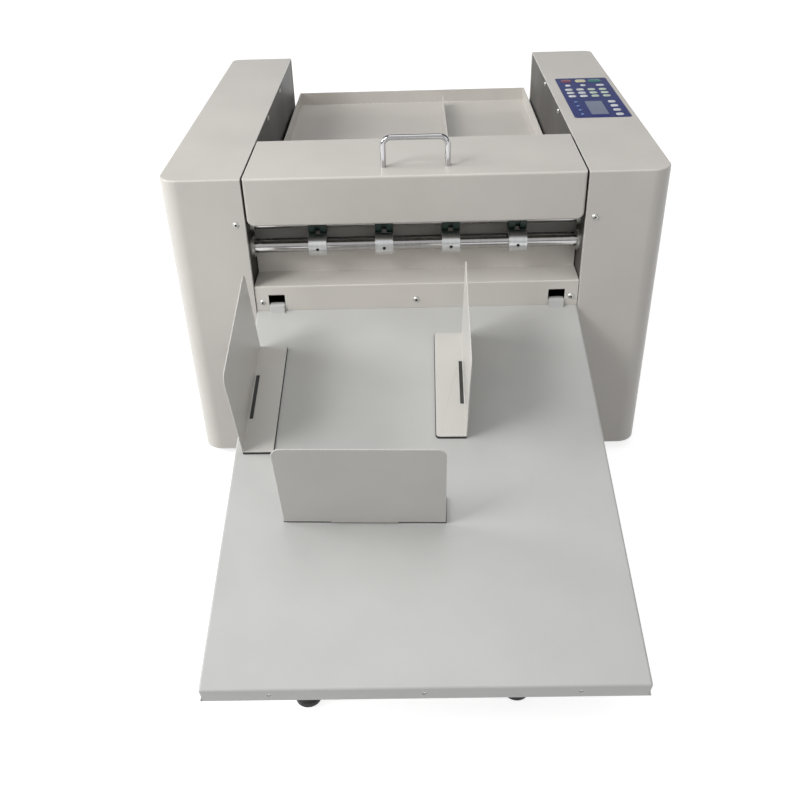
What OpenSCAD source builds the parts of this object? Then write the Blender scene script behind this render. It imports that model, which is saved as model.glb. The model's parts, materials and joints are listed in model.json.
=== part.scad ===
// Desktop paper creasing machine: hand-fed creaser with a hinged cover over its
// creasing station, a feed table at the back and a hooked-on delivery tray in front.
// Millimetres. X is the machine's width, +Y runs from the delivery side to the feed
// side, +Z is up. The origin is the middle of the footprint, on the table top.

/* [Body] */
// Overall width across both housings
overall_w = 600; // [560:5:700]
// Width of each side housing
housing_w = 98; // [94:1:120]
// Depth of the housings, front to back
body_depth = 571; // [540:5:680]
// Height of the housings, without the feet
body_h = 388; // [375:1:460]
// Height of the machine's rubber feet
foot_h = 12; // [8:1:20]
// Thickness of the painted sheet steel
sheet = 1.5; // [1:0.1:2]
// Radius of the housings' front outer corners
corner_r = 25; // [12:1:32]
// Radius of the housings' rear outer corners
rear_corner_r = 12; // [6:1:24]
// Thickness of the side frames
frame_t = 6; // [5:0.5:8]

/* [Cover] */
// Depth of the hinged cover, front to back
cover_depth = 136; // [132:1:160]
// Height of the cover's front face
cover_face_h = 59; // [50:1:62]
// Gap between the cover and each housing
cover_gap = 2.3; // [1:0.1:3]
// Distance between the legs of the cover's handle
handle_pitch = 76; // [64:1:120]
// Sideways place of the handle's middle
handle_x = 2; // [-20:1:20]
// Height of the handle's bar centre over the cover
handle_rise = 35; // [28:1:45]
// Diameter of the handle's rod
handle_d = 6.5; // [5:0.5:8]

/* [Creasing station] */
// Travel of the creasing beam
crease_travel = 3.5; // [2:0.25:4]
// Thickness of the creasing blade
blade_t = 1; // [0.6:0.1:1.4]
// Width of the groove in the lower die
groove_w = 2.8; // [2:0.1:3.5]

/* [Outfeed] */
// Diameter of the outfeed shaft
shaft_d = 16; // [12:1:18]
// Diameter of the collars on the outfeed shaft
collar_d = 26; // [24:0.5:26]
// Width of each collar
collar_w = 22; // [14:1:28]
// Distance between neighbouring collars
collar_pitch = 82; // [60:1:90]

/* [Delivery tray] */
// Length of the delivery tray along its slope
tray_len = 502; // [420:1:560]
// Gap between the delivery tray and each housing
tray_gap = 0.5; // [0.4:0.1:3]
// Slope of the delivery tray in degrees
tray_slope = 13.57; // [8:0.01:16]
// Depth of the tray's turned-down front edge
tray_flange = 20; // [12:1:24]
// Diameter of the tray's levelling feet
tray_foot_d = 26; // [18:1:30]

/* [Guides] */
// Length of the tray's guide plates
guide_len = 164; // [120:1:180]
// Height of the tray's guide plates
guide_h = 117; // [80:1:130]
// Width of the guide plates' foot flange
guide_flange = 34; // [20:1:38]
// Thickness of the magnetic pads under the guides
magnet_t = 2; // [1:0.5:3]

/* [Feed table] */
// How far the feed table reaches behind the housings
feed_reach = 59; // [30:1:90]
// Height of the feed table's side walls
feed_wall_h = 21; // [14:1:26]

/* [Hidden] */
$fn = 48;

// Small clearances
fit = 0.05;
gap = 0.3;

// Body, in machine coordinates: y = 0 is the housings' front face
half_w = overall_w / 2;
inner_x = half_w - housing_w;
frame_x = inner_x + 0.5;
frame_out = frame_x + frame_t;
top_z = foot_h + body_h;
base_t = 2;
base_z = foot_h + base_t;
frame_front = 6;
frame_back = body_depth - 9;

// Paper line and rollers
paper_z = top_z - 84;
out_y = 30;
out_z = top_z - 97;
shaft_r = shaft_d / 2;
collar_r = collar_d / 2;
gear_m = 1.25;
gear_n = 21;
gear_pd = gear_m * gear_n;
nip_y = out_y + 12;
nip_z = out_z + sqrt(pow(gear_pd, 2) - pow(nip_y - out_y, 2));
nip_shaft_r = 5;
wheel_r = gear_pd - collar_r - 0.4;
infeed_y = 122;
roller_r = gear_pd / 2 - 0.2;
roller_half = inner_x - 16;
journal_r = 5;
upper_z = out_z + gear_pd;
collar_xs = [for (i = [-1.5:1:1.5]) i * collar_pitch + 2.8];

// Bearings that carry the shafts in the side frames
bearing_r = 12;
flange_r = 13;
flange_t = 4;

// Gears outside the left frame, pulleys outside the right one
gear_x0 = frame_out + 3;
gear_w = 8;
pulley_x0 = frame_out + 3;
pulley_w = 12;
pulley_r = 13;
motor_pulley_r = 9;
stepper_y = 60;
stepper_z = out_z - 118;
stepper_size = 57;
stepper_len = 56;
stepper_shaft_r = 4;

// Creasing station
station_y = 90;
die_half_y = 10;
die_top = paper_z - 1;
die_bottom = die_top - 25;
ecc_z = out_z - 63;
ecc_e = crease_travel / 2;
ecc_r = 12;
ecc_shaft_r = 8;
ecc_m = 1.5;
ecc_n = 54;
pinion_n = 20;
ecc_gear_x0 = pulley_x0 + pulley_w + 6;
ecc_gear_w = 8;
crease_motor_y = station_y + ecc_m * (ecc_n + pinion_n) / 2;
plate_half_y = 24;
plate_x0 = frame_x - 10.5;
plate_x1 = frame_x - 4.5;
plate_top = top_z - 28;
window_y = ecc_r + ecc_e + 0.5;
window_z0 = ecc_z - ecc_r - ecc_e - 0.4;
window_z1 = ecc_z + ecc_r + ecc_e + crease_travel + 0.4;
plate_bottom = window_z0 - 7;
beam_z0 = paper_z + 10;
beam_z1 = paper_z + 34;
beam_half_y = 10;
blade_tip = die_top + 2.5;

// Front panel
panel_y = 2;
panel_half = inner_x - 0.7;
lip_z = top_z - 139;
wall_y = 47;
wall_top = out_z - 6;
window_x1 = inner_x - 17;
window_x0 = window_x1 - 20.5;
window_bottom = lip_z - 26;
window_top = lip_z - 12;

// Delivery tray, from its rear edge
tray_rear_y = 2;
tray_rear_z = top_z - 172.4;
tray_reach = tray_len * cos(tray_slope) - tray_rear_y;
tray_w = 2 * (inner_x - tray_gap);
tray_side_flange = 15;
legs = [[-118, -409], [94, -404]];
hook_w = 18;
hook_top = window_bottom + sheet + 0.03;
hook_bottom = hook_top - 10.5;
hook_y = panel_y - 1.8;
hook_back = panel_y + 7;

// Feed table and overall length
feed_half = inner_x - 3;
feed_front = cover_depth + 2.5;
feed_back = body_depth + feed_reach;
feed_floor = paper_z - 11;
front_y = (tray_reach - feed_back) / 2;

// Guides on the delivery tray, measured along its slope from the rear edge
guide_t = 1.2;
guide_r = 10;
flange_corner_r = 4;
guide_slot = 68;
guide_slot_w = 4.2;
guide_lean = 0.8;
left_guide_x = 10.4 - tray_w / 2;
left_guide_s = 68;
left_guide_turn = -0.6;
right_guide_x = 55.3;
right_guide_s = 51.4;
right_guide_turn = 0.9;
stop_x0 = -139;
stop_s = 324;
stop_turn = -1.5;
stop_slit = 48;

// Feed guide
feed_guide_x = 53;
feed_guide_len = 240;
feed_guide_h = 20;
feed_guide_flange = 24;
feed_guide_back = feed_back - 26;

// Keypad on the right housing
film_x0 = inner_x + 14;
film_w = 76;
film_y0 = 201;
film_len = 196;
film_t = 0.5;
key_h = 0.7;

// Screws
screw_r = 2;
screw_head_r = 3.8;
screw_head_h = 2.2;
screw_hole_r = 2.2;

// Cover
cover_corner_r = 9;
hinge_y = cover_depth - 8;
hinge_z = top_z - 8;
pin_r = 3;
cover_half = inner_x - cover_gap;

// Rear sockets on the left housing
inlet_x = -(inner_x + 50);
inlet_z = foot_h + 50;
inlet_w = 27;
inlet_h = 20;
switch_z = foot_h + 92;
switch_w = 14;
switch_h = 20;

// ---- Placing and shared shapes ----

// Machine coordinates
module in_machine() { translate([0, front_y, 0]) children(); }

// Tray coordinates: the tray's top is z = 0 and its rear edge is y = 0
module in_tray() {
    in_machine() translate([0, tray_rear_y, tray_rear_z]) rotate([tray_slope, 0, 0]) children();
}

// Box between two corners
module block(lo, hi) { translate(lo) cube(hi - lo); }

// Bar along X
module x_rod(x0, x1, y, z, r) {
    translate([x0, y, z]) rotate([0, 90, 0]) cylinder(h = x1 - x0, r = r);
}

// Plate across X from an outline given in Y and Z
module x_plate(x0, x1) {
    translate([x0, 0, 0]) rotate([90, 0, 90]) linear_extrude(x1 - x0) children();
}

module both_sides() {
    children();
    mirror([1, 0, 0]) children();
}

// Plate outline with two rounded corners on its far edge
module rounded_plate(w, h, r) {
    union() {
        square([w, h - r]);
        translate([r, 0]) square([w - 2 * r, h]);
        translate([r, h - r]) circle(r);
        translate([w - r, h - r]) circle(r);
    }
}

// Button-head screw, its head's seat at z = 0
module button_screw(shank) {
    cap_r = (pow(screw_head_r, 2) + pow(screw_head_h, 2)) / (2 * screw_head_h);
    difference() {
        union() {
            intersection() {
                translate([0, 0, screw_head_h - cap_r]) sphere(cap_r);
                cylinder(h = screw_head_h, r = screw_head_r);
            }
            translate([0, 0, -shank]) cylinder(h = shank + 0.5, r = screw_r);
        }
        translate([0, 0, screw_head_h - 1.9]) cylinder(h = 3, r = 1.45, $fn = 6);
    }
}

// Involute angle, in degrees, at pressure angle a
function inv(a) = tan(a) * 180 / PI - a;

// Half of a tooth's angle at radius r, for n teeth of module m
function half_tooth(r, m, n) =
    let (rb = m * n * cos(20) / 2, a = acos(min(1, rb / max(r, rb))))
    90 / n + inv(20) - inv(a) - 0.09 * 360 / (PI * n);

// Spur gear outline with one tooth pointing along +X
module gear_outline(m, n) {
    rb = m * n * cos(20) / 2;
    root = m * (n / 2 - 1.25);
    tip = m * (n / 2 + 0.95);
    flank = [for (k = [0:4]) max(rb, root) + (tip - max(rb, root)) * k / 4];
    radii = concat([root], flank);
    polygon([for (i = [0:n - 1], side = [-1, 1], k = [0:5])
        let (r = radii[side < 0 ? k : 5 - k], a = i * 360 / n + side * half_tooth(r, m, n))
        [r * cos(a), r * sin(a)]]);
}

// Gear on an axis along X, one tooth towards the angle turn, measured from +Y to +Z
module x_gear(x0, w, y, z, m, n, turn, bore) {
    translate([x0, y, z]) rotate([90, 0, 90]) rotate(turn) linear_extrude(w) difference() {
        gear_outline(m, n);
        circle(bore);
    }
}

// Toothed pulley with two flanges on an axis along X
module x_pulley(x0, y, z, r, bore) {
    translate([x0, y, z]) rotate([0, 90, 0]) difference() {
        union() {
            cylinder(h = pulley_w, r = r - 1.5);
            cylinder(h = 1, r = r + 1.2);
            translate([0, 0, pulley_w - 1]) cylinder(h = 1, r = r + 1.2);
        }
        translate([0, 0, -1]) cylinder(h = pulley_w + 2, r = bore);
    }
}

// ---- Frame ----

module base_plate() {
    edge = half_w - sheet - gap;
    color("dimgray") in_machine() difference() {
        block([-edge, 4, foot_h], [edge, body_depth - 3.3, base_z]);
        both_sides() translate([edge - corner_r, 0, foot_h - 1]) difference() {
            cube([corner_r + 5, corner_r + 1, base_t + 2]);
            translate([0, corner_r + 1, -1]) cylinder(h = base_t + 4, r = corner_r);
        }
        both_sides() translate([edge - rear_corner_r, body_depth - rear_corner_r - 3, foot_h - 1])
            difference() {
                cube([rear_corner_r + 5, rear_corner_r + 5, base_t + 2]);
                translate([0, 0, -1]) cylinder(h = base_t + 4, r = rear_corner_r);
            }
    }
}

module machine_feet() {
    color("black") in_machine() for (x = [-1, 1] * (half_w - 45), y = [60, body_depth - 60])
        translate([x, y, 0]) rotate_extrude() difference() {
            square([15, foot_h]);
            translate([-1, -1]) square([5, 4]);
            translate([15, 0]) circle(2.5);
        }
}

// Side frame, drawn for the right-hand side
module side_frame_shape() {
    difference() {
        block([frame_x, frame_front, base_z], [frame_out, frame_back, top_z - sheet - gap]);
        for (p = [[out_y, out_z], [infeed_y, out_z], [station_y, ecc_z]])
            x_rod(frame_x - 1, frame_out + 1, p[0], p[1], bearing_r + fit);
        for (p = [[nip_y, nip_z], [infeed_y, upper_z]])
            x_rod(frame_x - 1, frame_out + 1, p[0], p[1], 8 + fit);
        x_rod(frame_x - 1, frame_out + 1, hinge_y, hinge_z, pin_r + fit);
        x_rod(frame_x - 1, frame_out + 1, stepper_y, stepper_z, 10);
        x_rod(frame_x - 1, frame_out + 1, crease_motor_y, ecc_z, 12);
        for (y = [260, 400]) x_rod(frame_x - 1, frame_out + 1, y, top_z - 7, screw_hole_r);
    }
}

module left_side_frame() { color("dimgray") in_machine() mirror([1, 0, 0]) side_frame_shape(); }

module right_side_frame() { color("dimgray") in_machine() side_frame_shape(); }

module tie_bars() {
    places = [[60, 60], [body_depth - 50, 60], [250, feed_floor - sheet - 8.2],
        [body_depth - 30, feed_floor - sheet - 8.2], [140, out_z - 180]];
    color("silver") in_machine() for (p = places) x_rod(-frame_x, frame_x, p[0], p[1], 8);
}

// Outline of a housing seen from above, for the right-hand side
module housing_outline(inset) {
    r1 = corner_r - inset;
    r2 = rear_corner_r - inset;
    x1 = half_w - inset;
    y0 = inset;
    y1 = body_depth - inset;
    union() {
        translate([inner_x, y0]) square([x1 - r1 - inner_x, y1 - y0]);
        translate([x1 - r1 - 1, y0 + r1]) square([r1 + 1, y1 - y0 - r1 - r2]);
        translate([x1 - r1, y0 + r1]) circle(r1);
        translate([inner_x, y1 - r2 - 1]) square([x1 - r2 - inner_x, r2 + 1]);
        translate([x1 - r2, y1 - r2]) circle(r2);
    }
}

module housing_shape() {
    difference() {
        translate([0, 0, foot_h]) linear_extrude(body_h) housing_outline(0);
        translate([0, 0, foot_h - 1]) linear_extrude(body_h + 1 - sheet) housing_outline(sheet);
        block([inner_x - 1, sheet, foot_h - 1],
            [inner_x + 1, body_depth - sheet, top_z - sheet]);
        translate([inner_x + 11, 0, top_z - 56]) rotate([90, 0, 0])
            cylinder(h = 8, r = screw_hole_r, center = true);
        for (z = [foot_h + 24, top_z - 40]) translate([inner_x + 75, body_depth, z])
            rotate([90, 0, 0]) cylinder(h = 8, r = screw_hole_r, center = true);
    }
    // Inward edge of the front wall
    block([inner_x, sheet, foot_h + 3], [inner_x + 0.4, 5.8, top_z - sheet]);
}

module left_housing() {
    color("gainsboro") in_machine() difference() {
        mirror([1, 0, 0]) housing_shape();
        block([inlet_x - inlet_w / 2, body_depth - 5, inlet_z - inlet_h / 2],
            [inlet_x + inlet_w / 2, body_depth + 1, inlet_z + inlet_h / 2]);
        block([inlet_x - switch_w / 2, body_depth - 5, switch_z - switch_h / 2],
            [inlet_x + switch_w / 2, body_depth + 1, switch_z + switch_h / 2]);
    }
}

module right_housing() { color("gainsboro") in_machine() housing_shape(); }

// Screws on the housings' fronts and backs, the side frames and the front panel
module panel_screws() {
    color("silver") in_machine() {
        both_sides() translate([inner_x + 11, 0, top_z - 56]) rotate([90, 0, 0]) button_screw(5.5);
        both_sides() for (z = [foot_h + 24, top_z - 40])
            translate([inner_x + 75, body_depth, z]) rotate([-90, 0, 0]) button_screw(5);
        both_sides() for (y = [260, 400])
            translate([frame_x, y, top_z - 7]) rotate([0, -90, 0]) button_screw(5);
        for (x = [9 - inner_x, 0, inner_x - 9])
            translate([x, panel_y, lip_z - 22]) rotate([90, 0, 0]) button_screw(5);
    }
}

// Apron, ledge and rear wall of the delivery mouth in one folded sheet
module front_panel() {
    bottom = base_z + 1;
    color("gainsboro") in_machine() difference() {
        x_plate(-panel_half, panel_half) polygon([
            [panel_y, bottom], [panel_y, lip_z], [wall_y - sheet, lip_z],
            [wall_y - sheet, wall_top], [wall_y + 7, wall_top], [wall_y + 7, wall_top - sheet],
            [wall_y, wall_top - sheet], [wall_y, lip_z - sheet],
            [panel_y + sheet, lip_z - sheet], [panel_y + sheet, bottom]]);
        both_sides() block([window_x0, 0, window_bottom], [window_x1, 5, window_top]);
        for (x = [9 - inner_x, 0, inner_x - 9]) translate([x, panel_y, lip_z - 22])
            rotate([90, 0, 0]) cylinder(h = 8, r = screw_hole_r, center = true);
    }
}

module rear_panel() {
    y0 = body_depth - 3;
    color("gainsboro") in_machine() difference() {
        block([-panel_half, y0, base_z + 1], [panel_half, y0 + sheet, feed_floor - 4]);
        for (x = [-120, 0, 120], k = [0:5])
            block([x - 30, y0 - 1, foot_h + 150 + k * 9], [x + 30, y0 + 3, foot_h + 154 + k * 9]);
    }
}

// Folded pan with an entry ramp up to the infeed rollers
module feed_table() {
    ramp_y = feed_front + 62;
    ramp_z = paper_z - 1.5;
    color("gainsboro") in_machine() union() {
        x_plate(-feed_half, feed_half) polygon([
            [feed_front, ramp_z], [ramp_y, feed_floor], [feed_back - sheet, feed_floor],
            [feed_back - sheet, feed_floor + feed_wall_h], [feed_back, feed_floor + feed_wall_h],
            [feed_back, feed_floor - sheet], [ramp_y, feed_floor - sheet],
            [feed_front, ramp_z - sheet]]);
        both_sides() x_plate(feed_half - sheet, feed_half) polygon([
            [feed_front, ramp_z - sheet], [feed_front, feed_floor + feed_wall_h],
            [feed_back, feed_floor + feed_wall_h], [feed_back, feed_floor - sheet],
            [ramp_y, feed_floor - sheet]]);
    }
}

module crossbar() {
    color("gray") in_machine() block([-frame_x, 57, paper_z - 15], [frame_x, 65, paper_z - 1.5]);
}

module timing_belt() {
    module loop(d) {
        hull() {
            translate([out_y, out_z]) circle(pulley_r + d);
            translate([infeed_y, out_z]) circle(pulley_r + d);
            translate([stepper_y, stepper_z]) circle(motor_pulley_r + d);
        }
    }
    color("black") in_machine() x_plate(pulley_x0 + 1.5, pulley_x0 + pulley_w - 1.5)
        difference() {
            loop(0.5);
            loop(-1);
        }
}

// ---- Creasing station ----

module lower_die() {
    depth = 3;
    color("silver") in_machine() difference() {
        block([-frame_x, station_y - die_half_y, die_bottom],
            [frame_x, station_y + die_half_y, die_top]);
        block([-frame_x - 1, station_y - groove_w / 2, die_top - depth],
            [frame_x + 1, station_y + groove_w / 2, die_top + 1]);
    }
}

// Blocks that guide the pull plates' edges, two heights on each side
module beam_guides() {
    edge = plate_half_y + gap;
    color("goldenrod") in_machine() both_sides()
        for (z = [plate_top - 22, out_z - 41], y = [station_y - edge - 5.6, station_y + edge])
            block([plate_x0, y, z], [frame_x, y + 5.6, z + 20]);
}

module shaft_bearings() {
    module bearing(y, z, bore, outer, flange) {
        difference() {
            union() {
                x_rod(frame_x, frame_out, y, z, outer);
                x_rod(frame_x - flange_t, frame_x, y, z, flange);
            }
            x_rod(frame_x - flange_t - 1, frame_out + 1, y, z, bore + fit);
        }
    }
    color("silver") in_machine() both_sides() {
        bearing(out_y, out_z, shaft_r, bearing_r, flange_r);
        bearing(infeed_y, out_z, journal_r, bearing_r, flange_r);
        bearing(station_y, ecc_z, ecc_shaft_r, bearing_r, flange_r);
        bearing(nip_y, nip_z, nip_shaft_r, 8, 9);
        bearing(infeed_y, upper_z, journal_r, 8, 9);
    }
}

// Beam that carries the blade, bolted between the pull plates
module creasing_beam() {
    color("lightslategray") in_machine() difference() {
        block([-plate_x0, station_y - beam_half_y, beam_z0],
            [plate_x0, station_y + beam_half_y, beam_z1]);
        block([-roller_half, station_y - blade_t / 2 - fit, beam_z0 - 1],
            [roller_half, station_y + blade_t / 2 + fit, beam_z0 + 6]);
    }
}

module creasing_blade() {
    color("silver") in_machine() x_plate(-roller_half, roller_half) polygon([
        [station_y - blade_t / 2, beam_z0 + 6], [station_y - blade_t / 2, blade_tip + 0.6],
        [station_y - blade_t / 4, blade_tip], [station_y + blade_t / 4, blade_tip],
        [station_y + blade_t / 2, blade_tip + 0.6], [station_y + blade_t / 2, beam_z0 + 6]]);
}

// Plates that pull the beam down, with windows for the die and the eccentrics
module pull_plates() {
    die_y = die_half_y + 0.6;
    color("lightslategray") in_machine() both_sides() difference() {
        block([plate_x0, station_y - plate_half_y, plate_bottom],
            [plate_x1, station_y + plate_half_y, plate_top]);
        block([plate_x0 - 1, station_y - die_y, die_bottom - 0.6],
            [plate_x1 + 1, station_y + die_y, die_top + crease_travel + 0.6]);
        block([plate_x0 - 1, station_y - window_y, window_z0],
            [plate_x1 + 1, station_y + window_y, window_z1]);
        x_rod(plate_x0 - 1, plate_x1 + 1, station_y, beam_z1 + 14, 6);
    }
}

module eccentric_shaft() {
    color("silver") in_machine() union() {
        x_rod(-frame_out - 2, ecc_gear_x0 + ecc_gear_w + 2, station_y, ecc_z, ecc_shaft_r);
        both_sides() x_rod(plate_x0 - 1, plate_x1 + 0.1, station_y, ecc_z + ecc_e, ecc_r);
    }
}

module eccentric_gear() {
    color("dimgray") in_machine()
        x_gear(ecc_gear_x0, ecc_gear_w, station_y, ecc_z, ecc_m, ecc_n, 0, ecc_shaft_r + fit);
}

module motor_pinion() {
    turn = 180 + 180 / pinion_n;
    color("gray") in_machine() x_gear(ecc_gear_x0, ecc_gear_w, crease_motor_y, ecc_z,
        ecc_m, pinion_n, turn, 6 + fit);
}

module crease_motor() {
    motor_face = frame_x;
    color("darkgray") in_machine() union() {
        x_rod(motor_face - 42, motor_face, crease_motor_y, ecc_z, 30);
        x_rod(motor_face - 110, motor_face - 42, crease_motor_y, ecc_z, 26);
        x_rod(motor_face - 122, motor_face - 110, crease_motor_y, ecc_z, 14);
        x_rod(motor_face, ecc_gear_x0 + ecc_gear_w + 1, crease_motor_y, ecc_z, 6);
    }
}

module stepper_motor() {
    half = stepper_size / 2;
    color("black") in_machine() union() {
        block([frame_x - stepper_len, stepper_y - half, stepper_z - half],
            [frame_x - 6, stepper_y + half, stepper_z + half]);
        x_rod(frame_x - 6, frame_x, stepper_y, stepper_z, 19);
        x_rod(frame_x, pulley_x0 + pulley_w + 1, stepper_y, stepper_z, stepper_shaft_r);
    }
}

// ---- Outfeed and infeed ----

module outfeed_shaft() {
    color("silver") in_machine()
        x_rod(-gear_x0 - gear_w - 2, pulley_x0 + pulley_w + 2, out_y, out_z, shaft_r);
}

// Direction of the set screws, towards the front
module at_set_screws() {
    in_machine() for (x = collar_xs) translate([x, out_y, out_z]) rotate([94, 0, 0]) children();
}

module outfeed_collars() {
    color("lightgray") difference() {
        in_machine() for (x = collar_xs) difference() {
            x_rod(x - collar_w / 2, x + collar_w / 2, out_y, out_z, collar_r);
            x_rod(x - collar_w, x + collar_w, out_y, out_z, shaft_r + fit);
        }
        at_set_screws() cylinder(h = 20, r = 2.1);
    }
}

module collar_set_screws() {
    color("black") at_set_screws() translate([0, 0, shaft_r + 0.1]) difference() {
        cylinder(h = 3, r = 2);
        translate([0, 0, 1.5]) cylinder(h = 2, r = 1.1, $fn = 6);
    }
}

module outfeed_gear() {
    turn = atan2(nip_z - out_z, nip_y - out_y);
    color("gray") in_machine()
        x_gear(-gear_x0 - gear_w, gear_w, out_y, out_z, gear_m, gear_n, turn, shaft_r + fit);
}

module nip_gear() {
    turn = 180 + atan2(nip_z - out_z, nip_y - out_y) + 180 / gear_n;
    color("gray") in_machine() x_gear(-gear_x0 - gear_w, gear_w, nip_y, nip_z,
        gear_m, gear_n, turn, nip_shaft_r + fit);
}

module nip_shaft() {
    color("silver") in_machine()
        x_rod(-gear_x0 - gear_w - 2, frame_out + 1, nip_y, nip_z, nip_shaft_r);
}

// Pairs of soft rims over the collars
module nip_wheels() {
    rim = collar_w * 0.36;
    color("darkgreen") in_machine() for (x = collar_xs) difference() {
        union() {
            for (s = [-1, 1]) translate([s * (collar_w / 2 - rim / 2), 0, 0])
                x_rod(x - rim / 2, x + rim / 2, nip_y, nip_z, wheel_r);
            x_rod(x - collar_w / 2, x + collar_w / 2, nip_y, nip_z, wheel_r - 4);
        }
        x_rod(x - collar_w, x + collar_w, nip_y, nip_z, nip_shaft_r + fit);
    }
}

module outfeed_pulley() {
    color("gray") in_machine() x_pulley(pulley_x0, out_y, out_z, pulley_r, shaft_r + fit);
}

module infeed_pulley() {
    color("gray") in_machine() x_pulley(pulley_x0, infeed_y, out_z, pulley_r, journal_r + fit);
}

module motor_pulley() {
    color("gray") in_machine()
        x_pulley(pulley_x0, stepper_y, stepper_z, motor_pulley_r, stepper_shaft_r + fit);
}

module infeed_lower_roller() {
    color("dimgray") in_machine() union() {
        x_rod(-roller_half, roller_half, infeed_y, out_z, roller_r);
        x_rod(-gear_x0 - gear_w - 2, pulley_x0 + pulley_w + 2, infeed_y, out_z, journal_r);
    }
}

module infeed_upper_roller() {
    color("dimgray") in_machine() union() {
        x_rod(-roller_half, roller_half, infeed_y, upper_z, roller_r);
        x_rod(-gear_x0 - gear_w - 2, frame_out + 1, infeed_y, upper_z, journal_r);
    }
}

module infeed_lower_gear() {
    color("gray") in_machine() x_gear(-gear_x0 - gear_w, gear_w, infeed_y, out_z,
        gear_m, gear_n, 90, journal_r + fit);
}

module infeed_upper_gear() {
    color("gray") in_machine() x_gear(-gear_x0 - gear_w, gear_w, infeed_y, upper_z,
        gear_m, gear_n, 270 + 180 / gear_n, journal_r + fit);
}

// ---- Cover ----

// Block at a lower corner of the cover, hollowed to a radius
module corner_block(size, y0, y1, r) {
    x = cover_half - cover_corner_r;
    z = top_z - cover_face_h + cover_corner_r;
    difference() {
        translate([x, y0, z - size]) cube([size, y1 - y0, size]);
        translate([x, y0 - 1, z]) rotate([-90, 0, 0]) cylinder(h = y1 - y0 + 2, r = r);
    }
}

// Folded shell with closed, round lower corners
module cover() {
    cheek_z = top_z - 25;
    hem_z = top_z - cover_face_h;
    lip = 9;
    color("gainsboro") in_machine() difference() {
        union() {
            x_plate(-cover_half, cover_half) polygon([
                [0, top_z], [cover_depth, top_z], [cover_depth, top_z - 14],
                [cover_depth - sheet, top_z - 14], [cover_depth - sheet, top_z - sheet],
                [sheet, top_z - sheet], [sheet, hem_z + sheet], [lip, hem_z + sheet],
                [lip, hem_z], [0, hem_z]]);
            both_sides() x_plate(cover_half - sheet, cover_half) polygon([
                [0, top_z], [cover_depth, top_z], [cover_depth, cheek_z], [20, cheek_z],
                [lip, hem_z + cover_corner_r], [lip, hem_z], [0, hem_z]]);
            both_sides() corner_block(cover_corner_r, 0, lip, cover_corner_r - sheet);
        }
        both_sides() corner_block(cover_corner_r + 1, -1, lip + 1, cover_corner_r);
        both_sides() x_rod(cover_half - 4, cover_half + 2, hinge_y, hinge_z, pin_r + fit);
        for (s = [-1, 1]) translate([handle_x + s * handle_pitch / 2, out_y, top_z - 5])
            cylinder(h = 8, r = 2.6);
    }
}

// Bent rod with a spigot under each leg
module cover_handle() {
    bend = 10;
    leg = handle_rise - bend;
    half = handle_pitch / 2;
    r = handle_d / 2;
    color("silver") in_machine() translate([handle_x, out_y, top_z]) union() {
        for (s = [-1, 1]) {
            translate([s * half, 0, 0]) cylinder(h = leg, r = r);
            translate([s * half, 0, -5]) cylinder(h = 5.5, r = 2.5);
        }
        translate([bend - half, 0, handle_rise]) rotate([0, 90, 0])
            cylinder(h = 2 * (half - bend), r = r);
        translate([half - bend, 0, leg]) rotate([90, 0, 0])
            rotate_extrude(angle = 90) translate([bend, 0]) circle(r);
        translate([bend - half, 0, leg]) rotate([90, 0, 0]) rotate(90)
            rotate_extrude(angle = 90) translate([bend, 0]) circle(r);
    }
}

module hinge_pins() {
    color("silver") in_machine() both_sides() {
        x_rod(cover_half - sheet - 3, frame_out - 0.5, hinge_y, hinge_z, pin_r);
        x_rod(cover_half - sheet - 5, cover_half - sheet, hinge_y, hinge_z, pin_r + 2);
    }
}

// ---- Delivery tray ----

// Folded sheet with turned-down edges and two hooks for the front panel
module delivery_tray() {
    half = tray_w / 2;
    hook_x = (window_x0 + window_x1 - hook_w) / 2;
    clear_y = tray_rear_y - gap;
    foot_y = tray_rear_y - 6.5;
    foot_z = tray_rear_z - 6.5 * tan(tray_slope);
    color("gainsboro") union() {
        difference() {
            in_tray() difference() {
                union() {
                    block([-half, -tray_len, -tray_side_flange], [half, 0, 0]);
                    block([-half, -tray_len, -tray_flange], [half, -tray_len + sheet, 0]);
                }
                block([-half + sheet, -tray_len + sheet, -tray_side_flange - 1],
                    [half - sheet, 1, -sheet]);
                for (x = [-139, 0, 139]) translate([x, -tray_len, -tray_flange / 2])
                    rotate([90, 0, 0]) cylinder(h = 8, r = 2, center = true);
            }
            in_machine() block([-half - 1, clear_y, 0], [half + 1, clear_y + 20, tray_rear_z + 20]);
        }
        in_machine() both_sides() x_plate(hook_x, hook_x + hook_w) polygon([
            [foot_y, foot_z], [hook_y, hook_top], [hook_back, hook_top],
            [hook_back, hook_bottom], [hook_back - sheet, hook_bottom],
            [hook_back - sheet, hook_top - sheet], [hook_y + 1, hook_top - sheet],
            [foot_y + 1.6, foot_z - 0.6]]);
    }
}

// Height of the tray's underside over the table at a place in front of the housings
function tray_under_z(y) =
    tray_rear_z + (y - tray_rear_y) * tan(tray_slope) - sheet / cos(tray_slope);

// Bracket under the tray with a threaded stem
module tray_legs() {
    stem_r = 4;
    color("silver") {
        in_machine() for (leg = legs) translate([leg[0], leg[1], 0]) {
            translate([0, 0, 9]) cylinder(h = tray_under_z(leg[1]) - 14, r = stem_r);
            translate([0, 0, 12]) cylinder(h = 5, r = 7, $fn = 6);
        }
        in_tray() for (leg = legs)
            translate([leg[0], (leg[1] - tray_rear_y) / cos(tray_slope), 0]) difference() {
                block([-16, -6, -sheet - 12], [16, 28, -sheet]);
                block([-17, -4.6, -sheet - 10], [17, 40, -sheet - 2]);
            }
    }
}

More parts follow.
